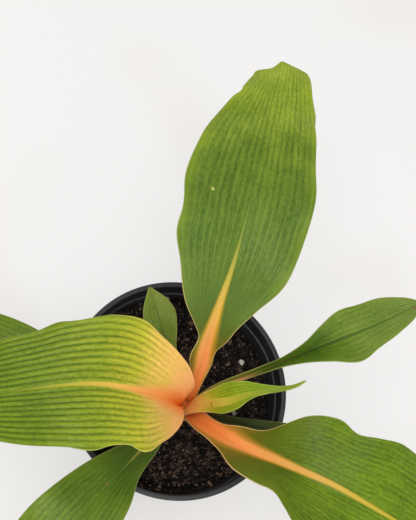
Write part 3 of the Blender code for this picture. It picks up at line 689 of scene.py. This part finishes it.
def soil_finish(settings):
    """Damp peat with painted shade that darkens its hollows to near black, each crumb its own brown, with fibres and
    dry specks.
    """
    finish = Finish("soil", 0.95)
    place = finish.place()
    crumbs = finish.noise(place, 520, 6, 0.7)
    patches = finish.noise(place, 60, 4, 0.6)
    specks = finish.noise(place, 1500, 2, 0.6)
    raised = finish.attribute("raised")
    grain = finish.node("TexVoronoi", {"Vector": place, "Scale": 640})
    tone = finish.node("SeparateColor", {0: grain.outputs["Color"]}).outputs[0]
    # Painted shade: where the relief is low, in the gaps between crumbs, the soil is darkened towards near black, and
    # raised crumbs stay lighter.
    share = finish.math("MULTIPLY_ADD", crumbs, 0.8, finish.math("MULTIPLY_ADD", raised, 0.35, -0.3))
    share = finish.math("MULTIPLY_ADD", finish.math("SUBTRACT", tone, 0.5), 0.45, share)
    dark = [channel * 0.1 for channel in settings.colour]
    soil = finish.mix(finish.ease(share, -0.1, 0.45), dark, settings.colour)
    # The drier patches follow the same share, so raised crumbs also turn paler: partly painted light on their tops,
    # partly dryness.
    light = finish.math("MULTIPLY_ADD", patches, 0.9, finish.math("MULTIPLY_ADD", share, 0.8, -0.55))
    dry = finish.mix(finish.ease(light, -0.05, 0.42), soil, settings.crumb_colour)
    finish.colour(finish.mix(finish.math("MULTIPLY", finish.ease(specks, 0.66, 0.76), 0.6), dry,
                             srgb(122, 106, 92)))
    finish.bump(finish.math("MULTIPLY_ADD", specks, 0.4, crumbs), 0.7, 0.6 * MM)
    finish.shader.inputs["Specular IOR Level"].default_value = 0.15
    return finish.material


def grain_finish(name, colour, dark, roughness):
    """Loose grains, each a little lighter or darker than the next by its own tone."""
    finish = Finish(name, roughness)
    tone = finish.attribute("tone")
    fine = finish.noise(finish.place(), 1400, 4, 0.7)
    share = finish.math("MULTIPLY_ADD", fine, 0.6, finish.math("MULTIPLY_ADD", tone, 0.8, -0.25))
    finish.colour(finish.mix(finish.ease(share, 0.0, 1.0), dark, colour))
    finish.bump(fine, 0.5, 0.3 * MM)
    finish.shader.inputs["Specular IOR Level"].default_value = 0.25
    return finish.material


def make_soil_bed(settings):
    """Fills the pot: a profile spun round Z, with a fine grid on top that is raised into crumbs."""
    floor = FLOOR_THICKNESS + 0.3 * MM
    wide = inner_radius(SOIL_HEIGHT)
    profile = [(wide * ring / SOIL_RINGS, SOIL_HEIGHT) for ring in range(SOIL_RINGS + 1)]
    profile += [(inner_radius(floor) - 0.3 * MM, floor), (0, floor)]
    body = spun(profile, SOIL_STEPS)
    raised = body.verts.layers.float.new("raised")
    for vert in body.verts:
        if vert.co.z > SOIL_HEIGHT - MM:
            x, y = vert.co.xy
            relief = crumb_relief(x, y)
            near_wall = max(0.0, math.hypot(x, y) / wide - 0.955) / 0.045
            relief -= settled_crack(x, y)
            height = soil_height(x, y) + relief * (1 - near_wall) - 0.5 * MM * near_wall
            widen = inner_radius(height) / wide
            vert.co = (x * widen, y * widen, height)
            # The relief is kept as 'raised' so that the soil's finish can paint shade into the low gaps.
            vert[raised] = relief / CRUMB_DEPTH
    mesh = finished_mesh("potting_soil", body, soil_finish(settings))
    add_piece("potting_soil", mesh, "soil", "soil")


def add_lump(body, layer, draw, place, size, flat, tone):
    """One uneven grain: a small icosphere pushed out of shape and pressed into the soil."""
    turn = Euler([draw.uniform(0, math.tau) for _ in range(3)]).to_matrix().to_4x4()
    made = bmesh.ops.create_icosphere(body, subdivisions=1, radius=1, matrix=turn)
    stretch = Vector((draw.uniform(0.75, 1.25), draw.uniform(0.7, 1.1), flat))
    seed = Vector([draw.uniform(0, 90) for _ in range(3)])
    for vert in made["verts"]:
        rough = 1 + 0.55 * noise.noise(vert.co * 1.3 + seed)
        vert.co = Vector(place) + Vector(a * b for a, b in zip(vert.co, stretch)) * size * rough
        vert[layer] = tone


def make_crumbs(settings):
    """Loose crumbs of peat scattered evenly over the soil."""
    draw = random.Random(7)
    body = bmesh.new()
    layer = body.verts.layers.float.new("tone")
    limit = inner_radius(SOIL_HEIGHT) - 3 * MM
    for _ in range(settings.crumbs):
        angle = draw.uniform(0, math.tau)
        radius = limit * math.sqrt(draw.random())
        x, y = radius * math.cos(angle), radius * math.sin(angle)
        size = 0.5 * MM * draw.lognormvariate(0, 0.45)
        size = min(size, 1.5 * MM)
        add_lump(body, layer, draw, (x, y, soil_height(x, y) + 0.35 * size), size,
                 draw.uniform(0.6, 0.95), draw.random()**2)
    mesh = finished_mesh("soil_crumbs", body, grain_finish(
        "soil_crumbs", settings.crumb_colour, [channel * 0.3 for channel in settings.colour], 0.95))
    add_piece("soil_crumbs", mesh, "soil")


def make_perlite(settings):
    draw = random.Random(3)
    body = bmesh.new()
    layer = body.verts.layers.float.new("tone")
    for x, y, size, tone in PERLITE:
        x, y, size = x * MM, y * MM, size * MM
        add_lump(body, layer, draw, (x, y, soil_height(x, y) + 0.6 * size - SEAT), size, 0.85, tone)
    mesh = finished_mesh("perlite_grains", body, grain_finish(
        "perlite", settings.perlite_colour, srgb(62, 50, 40), 0.85))
    mesh.shade_flat()
    add_piece("perlite_grains", mesh, "soil")


def make_bark(settings):
    """Flat chips of bark: small blocks, bent by noise and turned on the soil."""
    draw = random.Random(11)
    noise.seed_set(11)              # without a seed, noise_vector differs from run to run
    body = bmesh.new()
    layer = body.verts.layers.float.new("tone")
    for x, y, size, turn, tone in BARK:
        x, y, size = x * MM, y * MM, size * MM
        made = bmesh.ops.create_cube(body, size=1)
        edges = dict.fromkeys(edge for vert in made["verts"] for edge in vert.link_edges)
        bmesh.ops.subdivide_edges(body, edges=list(edges), cuts=4, use_grid_fill=True)
        verts = [vert for vert in body.verts if vert[layer] == 0]
        place = Matrix.Translation((x, y, soil_height(x, y) + 0.2 * MM))
        tilt = Euler((draw.uniform(-0.25, 0.25), draw.uniform(-0.2, 0.2), turn)).to_matrix().to_4x4()
        shape = Matrix.Diagonal((size, 0.42 * size, 0.9 * MM, 1))
        for vert in verts:
            vert.co += Vector(noise.noise_vector(vert.co * 2.1 + Vector((x, y, 0)) / MM)) * 0.22
            vert.co = place @ tilt @ shape @ vert.co
            vert[layer] = tone
    mesh = finished_mesh("bark_chips", body, grain_finish(
        "bark_chips", srgb(158, 136, 112), srgb(52, 38, 30), 0.9))
    add_piece("bark_chips", mesh, "soil")


def crown_finish():
    """Pale flesh of the crown: cream at the soil, peach and orange where the leaves part."""
    finish = Finish("crown", 0.5)
    place = finish.place()
    height = finish.node("SeparateXYZ", {0: place}).outputs[2]
    share = finish.ease(height, CROWN_LOW.z, CROWN_HIGH.z)
    streak = finish.noise(finish.node("Mapping", {"Vector": place, "Scale": (900, 900, 60)}).outputs[0], 1, 4)
    flesh = finish.ramp(share, ((0, srgb(150, 118, 84)), (0.6, srgb(206, 176, 128)),
                                (0.8, srgb(236, 150, 74)), (1, srgb(240, 128, 50))))
    finish.colour(finish.mix(finish.math("MULTIPLY", streak, 0.35), flesh, srgb(186, 92, 36)))
    finish.bump(streak, 0.4, 0.3 * MM)
    return finish.material


def make_crown():
    """The short root stock, fluted by the sheaths of the leaves that stand on it."""
    top = CROWN_HIGH.z
    profile = [(0, top), (0.2 * CROWN_RADIUS, top - 0.3 * MM), (0.4 * CROWN_RADIUS, top - 1.6 * MM),
               (0.6 * CROWN_RADIUS, top - 3.2 * MM), (0.72 * CROWN_RADIUS, top - 5.0 * MM),
               (0.8 * CROWN_RADIUS, CROWN_SHOULDER), (0.95 * CROWN_RADIUS, CROWN_SHOULDER - 2 * MM),
               (CROWN_RADIUS, CROWN_SHOULDER - 5 * MM), (CROWN_RADIUS, CROWN_LOW.z + 8 * MM),
               (0.7 * CROWN_RADIUS, CROWN_LOW.z + 2 * MM), (0, CROWN_LOW.z)]
    body = spun(profile, 80)
    bmesh.ops.subdivide_edges(body, edges=body.edges, cuts=1, use_grid_fill=True)
    for vert in body.verts:
        angle = math.atan2(vert.co.y, vert.co.x)
        flute = 1 - 0.09 * abs(math.sin(2.5 * angle + 30 * vert.co.z))
        vert.co = (vert.co.x * flute + CROWN_X, vert.co.y * flute + CROWN_Y, vert.co.z)
    add_piece("sheathed_crown", finished_mesh("sheathed_crown", body, crown_finish()), "crown", "crown")


def direction(leaf, t):
    """The midrib's unit direction at the shares t of its length."""
    climb = np.radians(curve(leaf.climb, t))
    heading = np.radians(curve(leaf.heading, t))
    return np.stack([np.cos(climb) * np.cos(heading), np.cos(climb) * np.sin(heading),
                     np.sin(climb)], axis=-1)


def midrib(leaf, t, steps=400):
    """Points of the midrib, by adding up its direction from the base."""
    places = np.linspace(0, 1, steps + 1)
    middles = (places[1:] + places[:-1]) / 2
    path = np.vstack([np.zeros(3), np.cumsum(direction(leaf, middles), axis=0)]) / steps
    path = np.asarray(leaf.base) + leaf.length * path
    return np.stack([np.interp(t, places, path[:, axis]) for axis in range(3)], axis=-1)


def tip_share(leaf, t):
    """1 along the leaf, falling to 0 in a round end at the tip."""
    end = np.clip((t - 1 + leaf.tip) / leaf.tip, 0, 1)
    return np.sqrt(1 - end**2)


def half_width(leaf, t, s):
    """Half width in millimetres on the side that s lies on, with the nicks in the margin."""
    outline = np.asarray(leaf.outline)
    width = np.where(s > 0, curve(outline[:, [0, 2]], t), curve(outline[:, [0, 1]], t))
    for place, side, depth, share in leaf.nicks:
        width = width - np.where(s * side > 0, depth * np.exp(-((t - place) / share)**2), 0)
    return np.maximum(width, 0.05) * tip_share(leaf, t)


def leaf_points(leaf, t, s):
    """Points in millimetres of the leaf's upper face; t runs base to tip, s from -1 left to 1 right."""
    across = np.abs(s)
    heading = np.radians(curve(leaf.heading, t))
    roll = np.radians(curve(leaf.roll, t))[:, None]
    along = direction(leaf, t)
    level = np.stack([np.sin(heading), -np.cos(heading), np.zeros_like(t)], axis=-1)
    up = np.cross(level, along)
    side = level * np.cos(roll) + up * np.sin(roll)
    top = up * np.cos(roll) - level * np.sin(roll)
    half = half_width(leaf, t, s) * across
    inner = curve(leaf.inner, t)
    fold = np.radians(inner + (curve(leaf.outer, t) - inner) * across / 2)
    start = np.where(s > 0, leaf.shift[1], leaf.shift[0])
    wave = np.sin(2 * np.pi * (leaf.waves * t + start)) * across**2
    wave *= leaf.ruffle * tip_share(leaf, t) * np.clip(5 * t - 1, 0, 1)
    pleat = -leaf.depth * valley(pleat_phase(leaf, t, s)) * pleat_share(leaf, t, across)
    return (midrib(leaf, t) + side * (np.sign(s) * half * np.cos(fold))[:, None]
            + top * (half * np.sin(fold) + wave + pleat)[:, None])


def pleat_phase(leaf, t, s):
    """Which pleat a point lies on. Pleats follow the blade's smooth form and not its wavy margin."""
    places = np.linspace(0, 1, 201)
    kernel = np.exp(-np.linspace(-2, 2, 41)**2)
    outline = np.asarray(leaf.outline)
    even = []
    for column in (1, 2):
        wide = np.pad(curve(outline[:, [0, column]], places), 20, mode="edge")
        even.append(np.interp(t, places, np.convolve(wide, kernel / kernel.sum(), mode="valid")))
    even = np.where(s > 0, even[1], even[0])
    return leaf.pleats * np.abs(s) * half_width(leaf, t, s) / np.maximum(even * tip_share(leaf, t), 0.05)


def valley(phase):
    """1 in the sharp crease between two pleats, 0 on their rounded crests."""
    return 1 - np.abs(np.sin(np.pi * phase))


def pleat_share(leaf, t, across):
    """Pleats fade out at the stalk, at the midrib's band and at the tip."""
    stalk = np.clip((t - leaf.start[0]) / (leaf.start[1] - leaf.start[0]), 0, 1)
    tip = np.clip((1 - t) / 0.1, 0, 1)
    rib = np.clip(across / 0.12, 0, 1)
    return stalk * tip * rib


def leaf_thickness(t, s, blade):
    """Thick in the stalk and along the midrib, thin at the edges and the tip."""
    stalk = np.clip(1 - t / 0.35, 0, 1)
    rib = np.exp(-(s / (RIB_WIDTH + 0.7 * stalk))**2) * np.clip(1.1 - t, 0, 1)
    return blade + (RIB_THICKNESS - blade) * rib * np.clip(0.25 + stalk, 0, 1)


def linear_stops(stops):
    return [(share, srgb(*colour)) for share, colour in stops]


def upper_finish(name, leaf, settings):
    """A leaf's upper face: pleats with painted shade in their creases and painted light on their crests, parallel
    veins, the warm midrib, pale margin, scuffs, spots.
    """
    finish = Finish(name + "_upper", leaf.gloss)
    across, along = finish.uv()
    band, edge, pleat = (finish.attribute(word) for word in ("band", "edge", "pleat"))
    place = finish.place()
    streaks = finish.noise(finish.vector(finish.math("MULTIPLY", across, 46), finish.math(
        "MULTIPLY", along, leaf.length / 22)), 1, 3, 0.6)
    fine = finish.noise(finish.vector(finish.math("MULTIPLY", across, 130), finish.math(
        "MULTIPLY", along, leaf.length / 9)), 1, 2, 0.5)
    cells = finish.noise(finish.vector(finish.math("MULTIPLY", across, 48), finish.math(
        "MULTIPLY", along, leaf.length / 2.2)), 1, 1, 0.5)
    mottle = finish.noise(place, 55, 3)
    patchy = finish.noise(finish.vector(finish.math("MULTIPLY", across, 9), finish.math(
        "MULTIPLY", along, leaf.length / 25)), 1, 2, 0.5)
    crest = finish.math("ABSOLUTE", finish.math("SINE", finish.math("MULTIPLY", pleat, math.pi)))
    between = finish.math("ABSOLUTE", finish.math("SINE", finish.math("MULTIPLY", pleat, math.tau)))
    veins = finish.math("SUBTRACT", 1.0, finish.ease(between, 0.0, 0.5))
    early = finish.math("SUBTRACT", 1.0, finish.ease(along, 0.45, 0.75))
    blotch = finish.math("MULTIPLY_ADD", finish.math("SUBTRACT", mottle, 0.5), 0.16, along)
    blade = finish.ramp(blotch, linear_stops(leaf.blade))
    # Painted shade: the blade is darkened in the creases between pleats, by leaf.crease, from where the pleats fade
    # in.
    crease = finish.math("SUBTRACT", 1.0, finish.ease(crest, 0.0, 0.8))
    crease = finish.math("MULTIPLY", crease, finish.ease(along, *leaf.start))
    crease = finish.math("MULTIPLY", crease, finish.math("MULTIPLY_ADD", patchy, 1.0, 0.45))
    light = finish.math("MULTIPLY", crease, -1.1 * leaf.crease)
    # Painted light: the pleats' crests are lightened.
    light = finish.math("MULTIPLY_ADD", crest, 0.3 * leaf.crease, light)
    # The pale veins and the random tone of the streak, fine, cell, mottle and patchy noises go into the same measure;
    # they are the leaf's own colour.
    light = finish.math("MULTIPLY_ADD", finish.math("MULTIPLY", veins, early), leaf.veins, light)
    for pattern, share in ((streaks, 1.5), (fine, 1.1), (cells, 1.3), (mottle, 1.2), (patchy, 0.5)):
        light = finish.math("MULTIPLY_ADD", finish.math("SUBTRACT", pattern, 0.5), share, light)
    green = finish.ease(along, *leaf.start)
    light = finish.math("MULTIPLY", light, finish.math("MULTIPLY_ADD", green, 0.75, 0.25))
    # This measure multiplies the blade's colour: it is painted shade and light where it comes from the pleats, and the
    # leaf's own colour where it comes from veins and noise.
    shade = finish.mix(finish.ease(light, -1.0, 1.0), (0.54, 0.68, 0.36), (1.68, 1.58, 1.7))
    blade = finish.mix(1.0, blade, shade, "MULTIPLY")
    yellow = finish.math("MULTIPLY", finish.math("SUBTRACT", 1.0, finish.ease(edge, 0.0, 8.0)), 0.7 * leaf.lime)
    blade = finish.mix(finish.math("MULTIPLY", yellow, finish.math("MULTIPLY", green, mottle)), blade,
                       srgb(122, 138, 34))
    rib = finish.ramp(along, linear_stops(leaf.rib))
    pink = finish.mix(finish.ease(fine, 0.3, 0.7), rib, [min(1, c * k) for c, k in zip(
        srgb(*leaf.rib[1][1]), (1.15, 1.0, 1.0))])
    bare = finish.math("SUBTRACT", 1.0, green)
    rib = finish.mix(finish.math("MULTIPLY", bare, 0.3), rib, pink)
    wander = finish.math("MULTIPLY_ADD", finish.math("SUBTRACT", streaks, 0.5), 0.25, band)
    if leaf.flank:
        end = leaf.flank[3]
        border = finish.math("MULTIPLY", finish.ease(wander, 0.45, 1.0), finish.math(
            "SUBTRACT", 0.8, finish.math("MULTIPLY", finish.ease(along, end, end + 0.15), 0.8)))
        rib = finish.mix(border, rib, srgb(*leaf.flank[:3]))
    base = finish.math("MULTIPLY", bare, leaf.melt)
    outside = finish.ease(wander, finish.math("MULTIPLY_ADD", base, -0.8, 0.8),
                          finish.math("MULTIPLY_ADD", base, 2.2, 1.35))
    colour = finish.mix(outside, rib, blade)
    scuff = finish.ease(finish.noise(place, 320, 2, 0.6), 0.73, 0.79)
    colour = finish.mix(finish.math("MULTIPLY", scuff, 0.35), colour, settings.scuff_colour)
    for share, side, radius, tint in leaf.spots:
        spot = leaf_points(leaf, np.array([share]), np.array([side]))[0] * MM
        away = finish.node("VectorMath", {0: place, 1: tuple(spot)}, operation="DISTANCE").outputs["Value"]
        round_spot = finish.math("SUBTRACT", 1.0, finish.ease(away, 0.6 * radius * MM, 1.1 * radius * MM))
        colour = finish.mix(round_spot, colour, srgb(*tint))
    line = finish.math("SUBTRACT", 1.0, finish.ease(edge, 0.5 * settings.margin_width,
                                                    1.6 * settings.margin_width))
    rim = finish.mix(green, srgb(*leaf.margin), finish.mix(0.45, colour, srgb(176, 182, 104)))
    colour = finish.mix(finish.math("MULTIPLY", line, 0.7), colour, rim)
    finish.colour(colour)
    finish.shader.inputs["Specular IOR Level"].default_value = LEAF_SHINE
    finish.roughness(finish.math("MULTIPLY_ADD", streaks, 0.16, leaf.gloss - 0.08))
    relief = finish.math("MULTIPLY_ADD", veins, 0.35, finish.math("MULTIPLY_ADD", cells, 0.25, fine))
    finish.bump(relief, 0.35, 0.25 * MM)
    return finish.material


def under_finish(name, leaf, settings):
    """A leaf's underside: paler and duller, with the veins standing out."""
    finish = Finish(name + "_under", 0.6)
    across, along = finish.uv()
    band, pleat = finish.attribute("band"), finish.attribute("pleat")
    fine = finish.noise(finish.vector(finish.math("MULTIPLY", across, 110), finish.math(
        "MULTIPLY", along, leaf.length / 12)), 1, 2, 0.5)
    veins = finish.math("COSINE", finish.math("MULTIPLY", pleat, 3 * math.tau))
    blade = finish.mix(0.45, finish.ramp(along, linear_stops(leaf.blade)), settings.underside_colour)
    share = finish.math("MULTIPLY_ADD", veins, 0.2, fine)
    shade = finish.mix(finish.ease(share, 0.1, 0.9), (0.78, 0.84, 0.72), (1.18, 1.14, 1.22))
    blade = finish.mix(1.0, blade, shade, "MULTIPLY")
    rib = finish.mix(0.4, finish.ramp(along, linear_stops(leaf.rib)), srgb(166, 152, 108))
    finish.colour(finish.mix(finish.ease(band, 0.8, 1.3), rib, blade))
    finish.bump(share, 0.4, 0.3 * MM)
    return finish.material


def make_leaf(name, leaf, settings):
    """A fine grid bent to the leaf's form, with its pleats, thickness and two finishes."""
    sheet = bmesh.new()
    sheet.loops.layers.uv.new("UVMap")
    bmesh.ops.create_grid(sheet, x_segments=leaf.columns, y_segments=leaf.rows, size=1, calc_uvs=True)
    flat = np.array([vert.co for vert in sheet.verts])
    s = flat[:, 0]
    t = (flat[:, 1] + 1) / 2
    half = half_width(leaf, t, s)
    weights = sheet.verts.layers.deform.verify()
    layers = [sheet.verts.layers.float.new(word) for word in ("band", "edge", "pleat")]
    band = np.asarray(leaf.band)
    from_rib = np.abs(s * half - curve(band[:, :2], t)) / np.maximum(curve(band[:, ::2], t), THIN_RIB)
    values = np.stack([from_rib, half * (1 - np.abs(s)), pleat_phase(leaf, t, s)], axis=-1)
    shares = leaf_thickness(t, s, settings.blade_thickness) / RIB_THICKNESS
    for vert, place, row, share in zip(sheet.verts, leaf_points(leaf, t, s) * MM, values, shares):
        vert.co = place
        vert[weights][0] = share
        for layer, value in zip(layers, row):
            vert[layer] = value
    bmesh.ops.remove_doubles(sheet, verts=sheet.verts, dist=0.01 * MM)
    mesh = finished_mesh(name + "_blade", sheet, upper_finish(name, leaf, settings),
                         under_finish(name, leaf, settings))
    piece = add_piece(mesh.name, mesh, leaf.slot, name)
    piece.vertex_groups.new(name="thickness")
    solidify = piece.modifiers.new("Thickness", "SOLIDIFY")
    solidify.thickness = RIB_THICKNESS
    solidify.offset = -1
    solidify.vertex_group = "thickness"
    solidify.material_offset = 1


def floor_finish(settings):
    """Pale matt backdrop with soft grey clouds, lit from within so that shadows stay faint."""
    finish = Finish("studio_floor", 0.9)
    place = finish.place()
    clouds = finish.ease(finish.noise(place, 7, 2, 0.4), 0.48, 0.72)
    colour = finish.mix(clouds, settings.floor_colour, srgb(135, 133, 131))
    finish.colour(colour)
    finish.feed(finish.shader.inputs["Emission Color"], colour)
    finish.shader.inputs["Emission Strength"].default_value = 2.25
    finish.shader.inputs["Specular IOR Level"].default_value = 0.1
    return finish.material


def add_light(name, power, size, place, aim):
    lamp = bpy.data.lights.new(name, "AREA")
    lamp.energy = power
    lamp.shape = "DISK"
    lamp.size = size
    light = bpy.data.objects.new(name, lamp)
    light.location = place
    light.rotation_euler = (Vector(aim) - Vector(place)).to_track_quat("-Z", "Y").to_euler()
    bpy.context.scene.collection.objects.link(light)


def add_camera():
    lens = bpy.data.cameras.new("camera")
    lens.lens = CAMERA_LENS
    lens.sensor_width = CAMERA_SENSOR
    lens.clip_start = 0.01
    camera = bpy.data.objects.new("camera", lens)
    camera.location = CAMERA_PLACE
    camera.rotation_euler = CAMERA_TILT
    bpy.context.scene.collection.objects.link(camera)
    bpy.context.scene.camera = camera


class CHLOROPHYTUM_OT_pot(bpy.types.Operator):
    """Adds the nursery pot with its collar, rolled lip and drain holes"""
    bl_idname = "chlorophytum.add_pot"
    bl_label = "Add Pot"

    def execute(self, context):
        finish = pot_finish(context.scene.chlorophytum_pot)
        mesh = drilled(finished_mesh("pot_blank", spun(pot_profile(), POT_STEPS)))
        mesh.materials.clear()
        mesh.materials.append(finish)
        mesh.set_sharp_from_angle(angle=math.radians(50))
        add_piece("nursery_pot", mesh, "pot_plastic", "pot")
        return {"FINISHED"}


class CHLOROPHYTUM_OT_soil(bpy.types.Operator):
    """Adds the soil and the crumbs, perlite and bark that lie on it"""
    bl_idname = "chlorophytum.add_soil"
    bl_label = "Add Soil"

    def execute(self, context):
        settings = context.scene.chlorophytum_soil
        make_soil_bed(settings)
        make_crumbs(settings)
        make_perlite(settings)
        make_bark(settings)
        return {"FINISHED"}


class CHLOROPHYTUM_OT_crown(bpy.types.Operator):
    """Adds the crown that the leaves stand on"""
    bl_idname = "chlorophytum.add_crown"
    bl_label = "Add Crown"

    def execute(self, context):
        make_crown()
        return {"FINISHED"}


class CHLOROPHYTUM_OT_leaves(bpy.types.Operator):
    """Adds the nine leaves"""
    bl_idname = "chlorophytum.add_leaves"
    bl_label = "Add Leaves"

    def execute(self, context):
        for name, leaf in LEAVES.items():
            make_leaf(name, leaf, context.scene.chlorophytum_leaf)
        return {"FINISHED"}


class CHLOROPHYTUM_OT_stage(bpy.types.Operator):
    """Adds the floor, the lights and the camera"""
    bl_idname = "chlorophytum.add_stage"
    bl_label = "Add Stage"

    def execute(self, context):
        settings = context.scene.chlorophytum_stage
        sheet = bmesh.new()
        bmesh.ops.create_grid(sheet, x_segments=8, y_segments=8, size=3)
        mesh = finished_mesh("studio_floor", sheet, floor_finish(settings))
        floor = bpy.data.objects.new("studio_floor", mesh)
        context.scene.collection.objects.link(floor)
        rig.stage(floor)
        world = bpy.data.worlds.new("studio")
        world.use_nodes = True
        world.node_tree.nodes["Background"].inputs["Color"].default_value = (1, 1, 1, 1)
        world.node_tree.nodes["Background"].inputs["Strength"].default_value = settings.ambient
        context.scene.world = world
        add_light("softbox", settings.key_power, 0.7, (-0.2, -0.26, 1.25), (0, 0, 0.1))
        add_light("front_fill", settings.fill_power, 0.22, (0.1, -0.75, 0.18), (0, 0, 0.07))
        add_camera()
        context.scene.view_settings.view_transform = "Standard"
        return {"FINISHED"}


class CHLOROPHYTUM_PT_plant(bpy.types.Panel):
    """Sidebar panel with the plant's operators and settings"""
    bl_label = "Chlorophytum"
    bl_space_type = "VIEW_3D"
    bl_region_type = "UI"
    bl_category = "Chlorophytum"

    def draw(self, context):
        for step, group in STEPS:
            self.layout.operator(step.bl_idname)
            settings = getattr(context.scene, group, None)
            for name in settings.bl_rna.properties.keys() if settings else ():
                if name not in ("rna_type", "name"):
                    self.layout.prop(settings, name)


STEPS = ((CHLOROPHYTUM_OT_pot, "chlorophytum_pot"), (CHLOROPHYTUM_OT_soil, "chlorophytum_soil"),
         (CHLOROPHYTUM_OT_crown, ""), (CHLOROPHYTUM_OT_leaves, "chlorophytum_leaf"),
         (CHLOROPHYTUM_OT_stage, "chlorophytum_stage"))
GROUPS = {"chlorophytum_pot": PotSettings, "chlorophytum_soil": SoilSettings,
          "chlorophytum_leaf": LeafSettings, "chlorophytum_stage": StageSettings}
CLASSES = (*GROUPS.values(), *(step for step, _ in STEPS), CHLOROPHYTUM_PT_plant)


def register():
    for kind in CLASSES:
        bpy.utils.register_class(kind)
    for name, kind in GROUPS.items():
        setattr(bpy.types.Scene, name, PointerProperty(type=kind))


def unregister():
    for name in GROUPS:
        delattr(bpy.types.Scene, name)
    for kind in reversed(CLASSES):
        bpy.utils.unregister_class(kind)


def main():
    register()
    bpy.ops.chlorophytum.add_pot()
    bpy.ops.chlorophytum.add_soil()
    bpy.ops.chlorophytum.add_crown()
    bpy.ops.chlorophytum.add_leaves()
    bpy.ops.chlorophytum.add_stage()
    sizes = {"cad": [list(corner) for corner in CAD_BOX],
             "visual": [list(corner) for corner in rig.bounds()]}
    with open(SIZE_FILE, "w") as file:
        json.dump(sizes, file)


if __name__ == "__main__":
    main()
